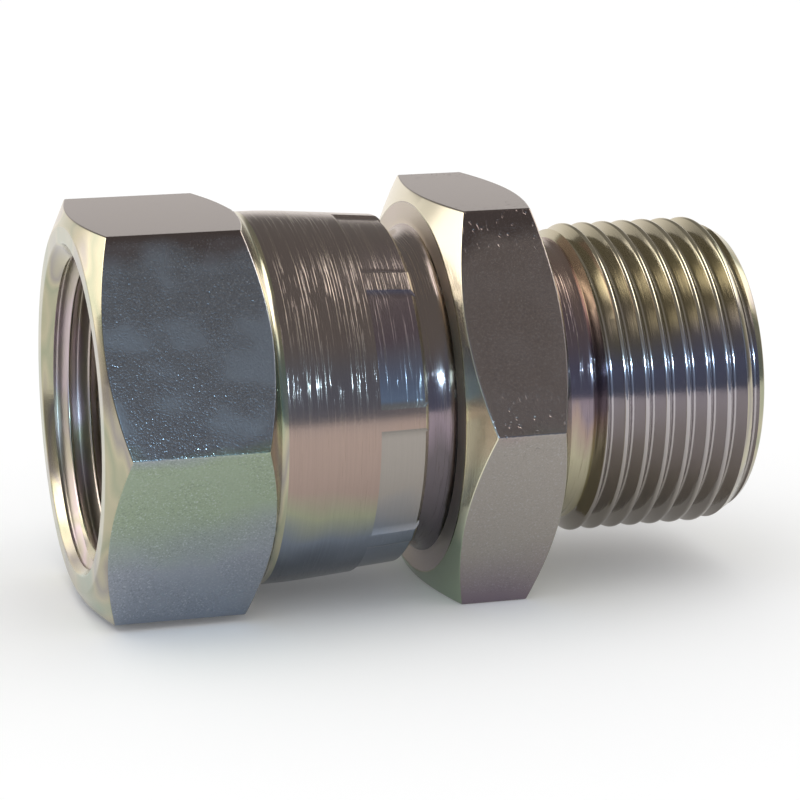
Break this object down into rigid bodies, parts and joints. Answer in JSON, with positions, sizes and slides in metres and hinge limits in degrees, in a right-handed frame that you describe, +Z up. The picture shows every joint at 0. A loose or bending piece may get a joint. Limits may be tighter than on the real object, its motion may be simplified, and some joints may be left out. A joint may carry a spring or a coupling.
{
  "type": "hydraulic swivel adapter",
  "caption": "Straight hydraulic adapter: hexagon body with a male parallel pipe thread, and a crimped swivel nut with a female thread.",
  "frame": {"origin": "on the turning axis, halfway between the nut's mouth and the male tip", "axes": "+X along the turning axis towards the male thread, +Z up, with a flat of each hexagon underneath"},
  "size_m": [0.0566, 0.0384, 0.0334],
  "materials": {
    "zinc_body": "turned carbon steel with yellow iridescent zinc plating",
    "zinc_nut": "turned carbon steel with yellow iridescent zinc plating, matter on the flats"
  },
  "bodies": {
    "adapter_body": {"adapter_body": "zinc_body"},
    "swivel_nut": {"swivel_nut": "zinc_nut"}
  },
  "joints": [
    {"name": "nut_swivel", "type": "hinge", "parent": "adapter_body", "child": "swivel_nut", "pos_m": [-0.012, 0, 0], "axis": [1, 0, 0], "continuous": true}
  ]
}
